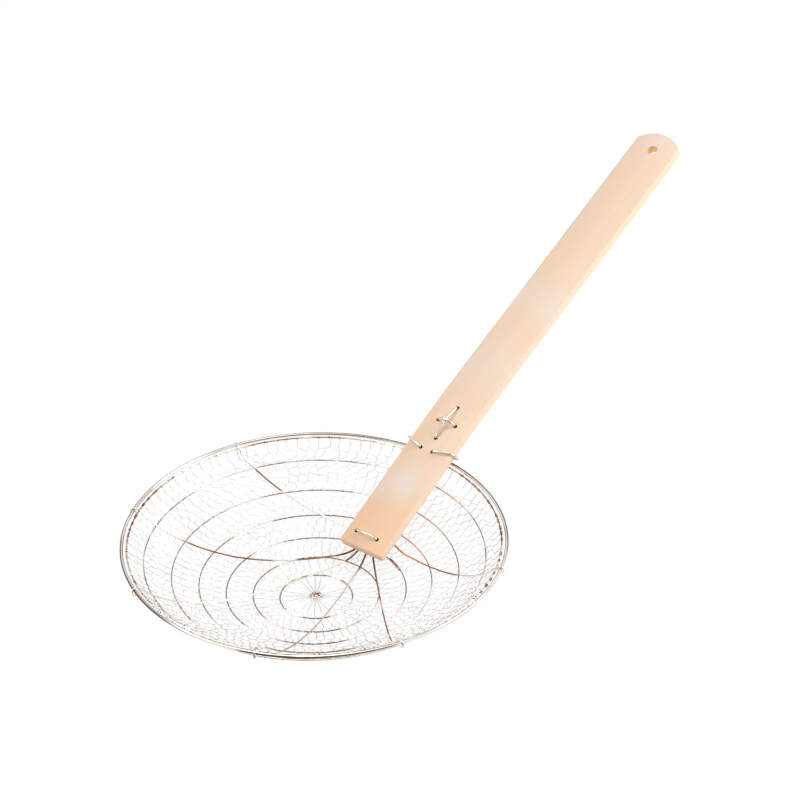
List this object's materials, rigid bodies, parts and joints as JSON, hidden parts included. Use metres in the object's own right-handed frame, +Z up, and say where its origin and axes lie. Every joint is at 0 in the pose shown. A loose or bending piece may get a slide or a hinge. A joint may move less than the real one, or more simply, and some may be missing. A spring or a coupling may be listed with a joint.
{
  "type": "wire skimmer strainer",
  "caption": "Shallow round strainer with a hexagonal wire net on a steel rim, held by rings and ribs and laced to a flat bamboo handle.",
  "frame": {"origin": "middle of the underside of the whole strainer's box, with the rim level and the bowl standing on its lowest ring", "axes": "+Z up, square to the rim; +X along the handle, from the bowl out to the hanging hole"},
  "size_m": [0.5284, 0.254, 0.1834],
  "materials": {
    "bright_wire": "bright drawn steel wire",
    "ring_wire": "dull steel wire with a warm tint",
    "net_wire": "thin twisted steel wire",
    "bamboo": "planed bamboo, unvarnished"
  },
  "bodies": {
    "root": {"rim_wire": "bright_wire", "net_edge_wire": "bright_wire", "support_ring_1": "ring_wire", "support_ring_2": "ring_wire", "support_ring_3": "ring_wire", "support_ring_4": "ring_wire", "support_ring_5": "ring_wire", "support_ring_6": "ring_wire", "wire_net": "net_wire", "rib_left_rear": "ring_wire", "rib_left_side": "ring_wire", "rib_left_front": "ring_wire", "rib_right_rear": "ring_wire", "rib_right_side": "ring_wire", "rib_right_front": "ring_wire", "bamboo_handle": "bamboo", "tip_stitch": "bright_wire", "cross_stitch_long": "bright_wire", "cross_stitch_short": "bright_wire", "rim_tie_left": "bright_wire", "rim_tie_right": "bright_wire"}
  },
  "joints": []
}
